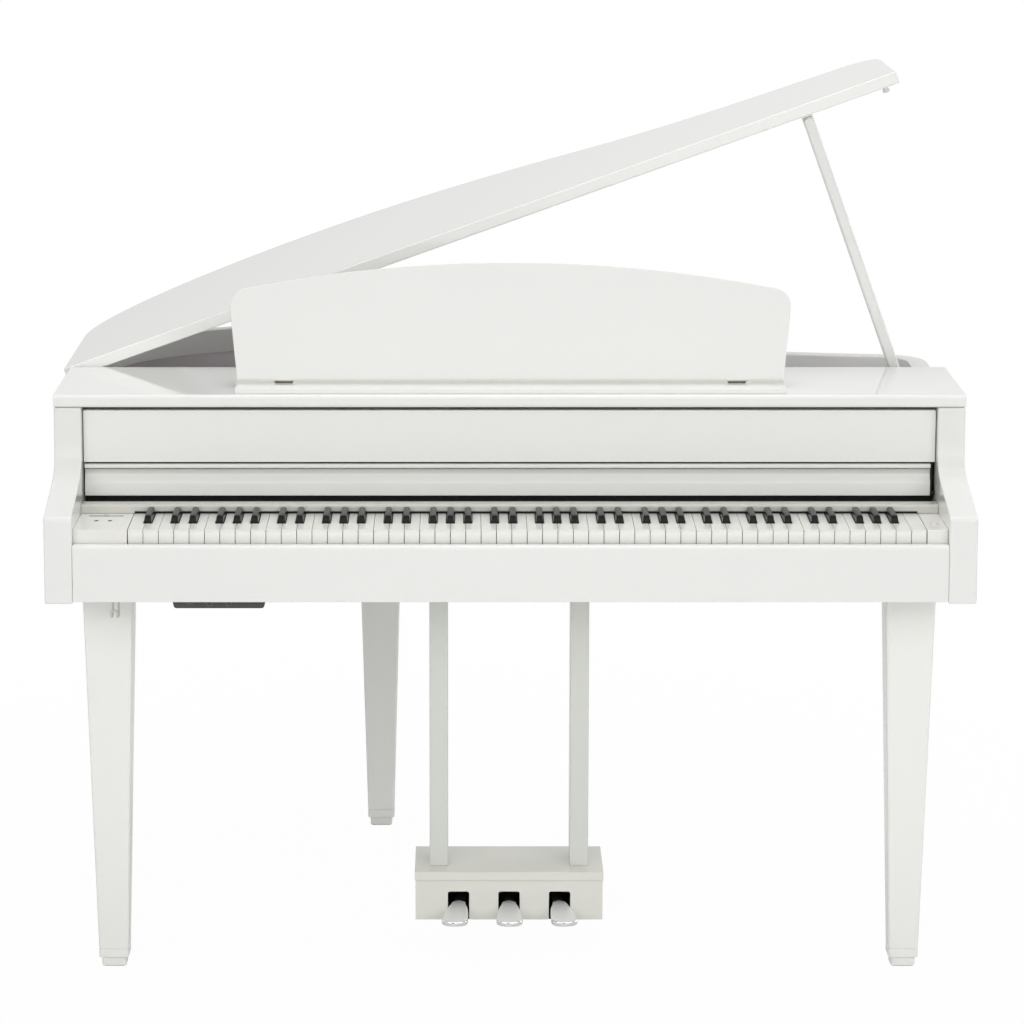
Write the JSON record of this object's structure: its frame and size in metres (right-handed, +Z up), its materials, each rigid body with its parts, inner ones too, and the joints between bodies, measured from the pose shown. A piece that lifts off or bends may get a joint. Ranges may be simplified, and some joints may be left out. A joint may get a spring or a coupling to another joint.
{
  "type": "digital grand piano",
  "caption": "White digital mini grand piano with a hinged lid on a prop, folding fallboard, folding music desk, moving keys, controls and pedals.",
  "frame": {"origin": "on the floor, under the middle of the case in width and depth", "axes": "+Z up, +X to the player's right, -Y towards the player, +Y towards the tail"},
  "size_m": [1.4432, 1.146, 1.4153],
  "materials": {
    "case": "polished white lacquer",
    "panel": "satin white lacquer",
    "inside": "matt black paint inside the case",
    "floor": "matt grey cavity floor",
    "white_key": "satin white key plastic",
    "black_key": "satin black key plastic",
    "chrome": "polished chrome",
    "metal": "dull metal fittings",
    "wire": "light coated wire",
    "dark": "dark moulded plastic",
    "button": "grey plastic controls",
    "board": "circuit board",
    "rubber": "soft white rubber"
  },
  "bodies": {
    "case": {"keybed": "case", "key_slip": "case", "left_arm": "case", "right_arm": "case", "rim": "case", "bottom_board": "case", "cavity_floor": "floor", "top_board": "case", "inner_partition": "inside", "key_strip": "panel", "left_key_block": "white_key", "right_key_block": "white_key", "key_frame": "dark", "circuit_board": "board", "left_speaker": "dark", "right_speaker": "dark", "jack_box": "dark", "headphone_hook": "wire", "front_left_leg": "case", "front_right_leg": "case", "rear_leg": "case", "left_lyre_post": "panel", "right_lyre_post": "panel", "lyre_top": "panel", "pedal_box": "panel", "pedal_shaft": "metal", "lid_hinge": "metal", "prop_bracket": "metal", "desk_ledge": "case", "left_desk_hinge": "metal", "right_desk_hinge": "metal"},
    "lid": {"lid": "case", "lid_bumper": "rubber", "prop_cup": "metal"},
    "lid_prop": {"lid_prop": "case"},
    "fallboard": {"fallboard": "panel"},
    "fallboard_flap": {"fallboard_flap": "panel"},
    "music_desk": {"music_desk": "case"},
    "desk_strut": {"desk_strut": "metal"},
    "soft_pedal": {"soft_pedal": "chrome"},
    "sostenuto_pedal": {"sostenuto_pedal": "chrome"},
    "damper_pedal": {"damper_pedal": "chrome"},
    "power_button": {"power_button": "white_key"},
    "volume_slider": {"volume_slider": "button"},
    "panel_button_1": {"panel_button_1": "button"},
    "panel_button_2": {"panel_button_2": "button"},
    "white_keys_1": {"white_keys_1": "white_key"},
    "white_keys_2": {"white_keys_2": "white_key"},
    "white_keys_3": {"white_keys_3": "white_key"},
    "white_keys_4": {"white_keys_4": "white_key"},
    "white_keys_5": {"white_keys_5": "white_key"},
    "white_keys_6": {"white_keys_6": "white_key"},
    "white_keys_7": {"white_keys_7": "white_key"},
    "black_keys_1": {"black_keys_1": "black_key"},
    "black_keys_2": {"black_keys_2": "black_key"},
    "black_keys_3": {"black_keys_3": "black_key"},
    "black_keys_4": {"black_keys_4": "black_key"},
    "black_keys_5": {"black_keys_5": "black_key"},
    "black_keys_6": {"black_keys_6": "black_key"},
    "black_keys_7": {"black_keys_7": "black_key"}
  },
  "joints": [
    {"name": "lid_swing", "type": "hinge", "parent": "case", "child": "lid", "pos_m": [-0.71416, 0, 0.9075], "axis": [0, 1, 0], "range_deg": [0, 19.78]},
    {"name": "prop_swing", "type": "hinge", "parent": "lid", "child": "lid_prop", "pos_m": [0.4905, -0.083, 1.33096], "axis": [0, 1, 0], "range_deg": [0, 88.2]},
    {"name": "fallboard_swing", "type": "hinge", "parent": "case", "child": "fallboard", "pos_m": [0, -0.371, 0.772], "axis": [1, 0, 0], "range_deg": [0, 90]},
    {"name": "flap_fold", "type": "hinge", "parent": "fallboard", "child": "fallboard_flap", "pos_m": [0, -0.3627, 0.905], "axis": [1, 0, 0], "range_deg": [0, 180.2]},
    {"name": "desk_fold", "type": "hinge", "parent": "case", "child": "music_desk", "pos_m": [0.002, -0.321, 0.9383], "axis": [-1, 0, 0], "range_deg": [0, 62]},
    {"name": "strut_fold", "type": "hinge", "parent": "music_desk", "child": "desk_strut", "pos_m": [0.002, -0.29123, 1.00196], "axis": [1, 0, 0], "range_deg": [0, 116.2]},
    {"name": "soft_pedal_press", "type": "hinge", "parent": "case", "child": "soft_pedal", "pos_m": [-0.07375, -0.228, 0.0775], "axis": [1, 0, 0], "range_deg": [0, 6], "stiffness_Nm_per_rad": 40, "springref_deg": -3.44},
    {"name": "sostenuto_pedal_press", "type": "hinge", "parent": "case", "child": "sostenuto_pedal", "pos_m": [0.0015, -0.228, 0.0775], "axis": [1, 0, 0], "range_deg": [0, 6], "stiffness_Nm_per_rad": 40, "springref_deg": -3.44},
    {"name": "damper_pedal_press", "type": "hinge", "parent": "case", "child": "damper_pedal", "pos_m": [0.07675, -0.228, 0.0775], "axis": [1, 0, 0], "range_deg": [0, 6], "stiffness_Nm_per_rad": 40, "springref_deg": -3.44},
    {"name": "power_press", "type": "slide", "parent": "case", "child": "power_button", "axis": [0, 0, -1], "range_m": [0, 0.0015], "stiffness_N_per_m": 400, "springref_m": -0.001},
    {"name": "volume_slide", "type": "slide", "parent": "case", "child": "volume_slider", "axis": [1, 0, 0], "range_m": [-0.0215, 0.0215]},
    {"name": "button_1_press", "type": "slide", "parent": "case", "child": "panel_button_1", "axis": [0, 0, -1], "range_m": [0, 0.0008], "stiffness_N_per_m": 400, "springref_m": -0.001},
    {"name": "button_2_press", "type": "slide", "parent": "case", "child": "panel_button_2", "axis": [0, 0, -1], "range_m": [0, 0.0008], "stiffness_N_per_m": 400, "springref_m": -0.001},
    {"name": "white_1_press", "type": "hinge", "parent": "case", "child": "white_keys_1", "pos_m": [-0.4819, -0.351, 0.738], "axis": [1, 0, 0], "range_deg": [0, 2.84], "stiffness_Nm_per_rad": 10, "springref_deg": -5.73},
    {"name": "white_2_press", "type": "hinge", "parent": "case", "child": "white_keys_2", "pos_m": [-0.2931, -0.351, 0.738], "axis": [1, 0, 0], "range_deg": [0, 2.84], "stiffness_Nm_per_rad": 10, "springref_deg": -5.73},
    {"name": "white_3_press", "type": "hinge", "parent": "case", "child": "white_keys_3", "pos_m": [-0.1279, -0.351, 0.738], "axis": [1, 0, 0], "range_deg": [0, 2.84], "stiffness_Nm_per_rad": 10, "springref_deg": -5.73},
    {"name": "white_4_press", "type": "hinge", "parent": "case", "child": "white_keys_4", "pos_m": [0.0373, -0.351, 0.738], "axis": [1, 0, 0], "range_deg": [0, 2.84], "stiffness_Nm_per_rad": 10, "springref_deg": -5.73},
    {"name": "white_5_press", "type": "hinge", "parent": "case", "child": "white_keys_5", "pos_m": [0.2025, -0.351, 0.738], "axis": [1, 0, 0], "range_deg": [0, 2.84], "stiffness_Nm_per_rad": 10, "springref_deg": -5.73},
    {"name": "white_6_press", "type": "hinge", "parent": "case", "child": "white_keys_6", "pos_m": [0.3677, -0.351, 0.738], "axis": [1, 0, 0], "range_deg": [0, 2.84], "stiffness_Nm_per_rad": 10, "springref_deg": -5.73},
    {"name": "white_7_press", "type": "hinge", "parent": "case", "child": "white_keys_7", "pos_m": [0.5447, -0.351, 0.738], "axis": [1, 0, 0], "range_deg": [0, 2.84], "stiffness_Nm_per_rad": 10, "springref_deg": -5.73},
    {"name": "black_1_press", "type": "hinge", "parent": "case", "child": "black_keys_1", "pos_m": [-0.4819, -0.351, 0.727], "axis": [1, 0, 0], "range_deg": [0, 3.2], "stiffness_Nm_per_rad": 10, "springref_deg": -5.73},
    {"name": "black_2_press", "type": "hinge", "parent": "case", "child": "black_keys_2", "pos_m": [-0.2931, -0.351, 0.727], "axis": [1, 0, 0], "range_deg": [0, 3.2], "stiffness_Nm_per_rad": 10, "springref_deg": -5.73},
    {"name": "black_3_press", "type": "hinge", "parent": "case", "child": "black_keys_3", "pos_m": [-0.1279, -0.351, 0.727], "axis": [1, 0, 0], "range_deg": [0, 3.2], "stiffness_Nm_per_rad": 10, "springref_deg": -5.73},
    {"name": "black_4_press", "type": "hinge", "parent": "case", "child": "black_keys_4", "pos_m": [0.0373, -0.351, 0.727], "axis": [1, 0, 0], "range_deg": [0, 3.2], "stiffness_Nm_per_rad": 10, "springref_deg": -5.73},
    {"name": "black_5_press", "type": "hinge", "parent": "case", "child": "black_keys_5", "pos_m": [0.2025, -0.351, 0.727], "axis": [1, 0, 0], "range_deg": [0, 3.2], "stiffness_Nm_per_rad": 10, "springref_deg": -5.73},
    {"name": "black_6_press", "type": "hinge", "parent": "case", "child": "black_keys_6", "pos_m": [0.3677, -0.351, 0.727], "axis": [1, 0, 0], "range_deg": [0, 3.2], "stiffness_Nm_per_rad": 10, "springref_deg": -5.73},
    {"name": "black_7_press", "type": "hinge", "parent": "case", "child": "black_keys_7", "pos_m": [0.5447, -0.351, 0.727], "axis": [1, 0, 0], "range_deg": [0, 3.2], "stiffness_Nm_per_rad": 10, "springref_deg": -5.73}
  ],
  "couplings": [
    {"joint": "prop_swing", "follows": "lid_swing", "ratio": 4.449},
    {"joint": "flap_fold", "follows": "fallboard_swing", "ratio": 2},
    {"joint": "strut_fold", "follows": "desk_fold", "ratio": 1.872}
  ]
}
